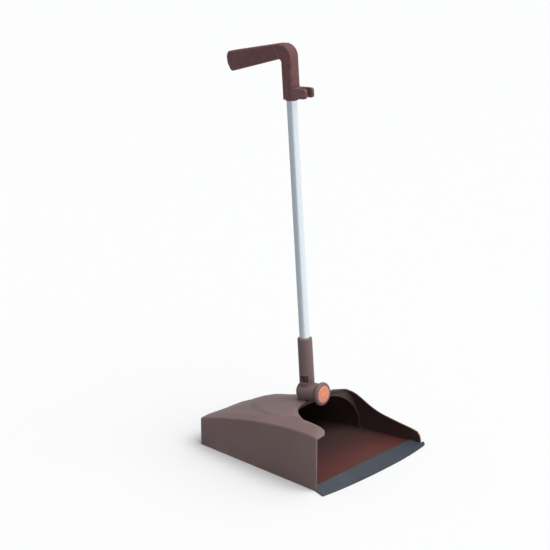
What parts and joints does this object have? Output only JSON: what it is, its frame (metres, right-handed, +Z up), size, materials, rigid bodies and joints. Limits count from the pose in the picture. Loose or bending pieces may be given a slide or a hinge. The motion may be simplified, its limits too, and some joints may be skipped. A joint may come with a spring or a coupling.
{
  "type": "lobby dust pan",
  "caption": "Upright lobby dust pan with a hooded plastic scoop, dark rubber lip and a metal pole that tilts on a pinned joint with a round push button, topped by a bent grip with a broom clip.",
  "frame": {"origin": "middle of the pan on the plane it stands on, at the rest mount", "axes": "+Z up along the pole's length, mouth of the pan towards -Y, grip arm towards +Y, +X to the right seen from the mouth side facing +Y"},
  "size_m": [0.3238, 0.3749, 0.7848],
  "materials": {
    "pan_plastic": "satin moulded brown plastic",
    "lip_rubber": "dark grey soft rubber",
    "bracket_plastic": "dark brown moulded plastic",
    "fitting_plastic": "satin moulded brown plastic",
    "button_plastic": "satin orange plastic",
    "pole_metal": "satin anodised tube",
    "grip_plastic": "finely grained brown plastic",
    "screw_steel": "plated steel"
  },
  "bodies": {
    "pan": {"pan_shell": "pan_plastic", "rubber_lip": "lip_rubber", "hinge_bracket": "bracket_plastic", "bracket_screws": "screw_steel"},
    "handle": {"pivot_tee": "fitting_plastic", "hinge_pin": "screw_steel", "button_bezel": "fitting_plastic", "pole_tube": "pole_metal", "pole_plug": "bracket_plastic", "pole_screw": "screw_steel", "grip_body": "grip_plastic", "grip_screw": "screw_steel"},
    "button": {"lock_button": "button_plastic", "stem_clip": "screw_steel", "button_spring": "screw_steel"}
  },
  "joints": [
    {"name": "handle_tilt", "type": "hinge", "parent": "pan", "child": "handle", "pos_m": [0, -0.031, 0.1095], "axis": [1, 0, 0], "range_deg": [0, 70]},
    {"name": "button_press", "type": "slide", "parent": "handle", "child": "button", "axis": [0, 0.9973, -0.0732], "range_m": [0, 0.003], "stiffness_N_per_m": 900, "springref_m": -0.002, "deforming": ["button_spring"]}
  ]
}
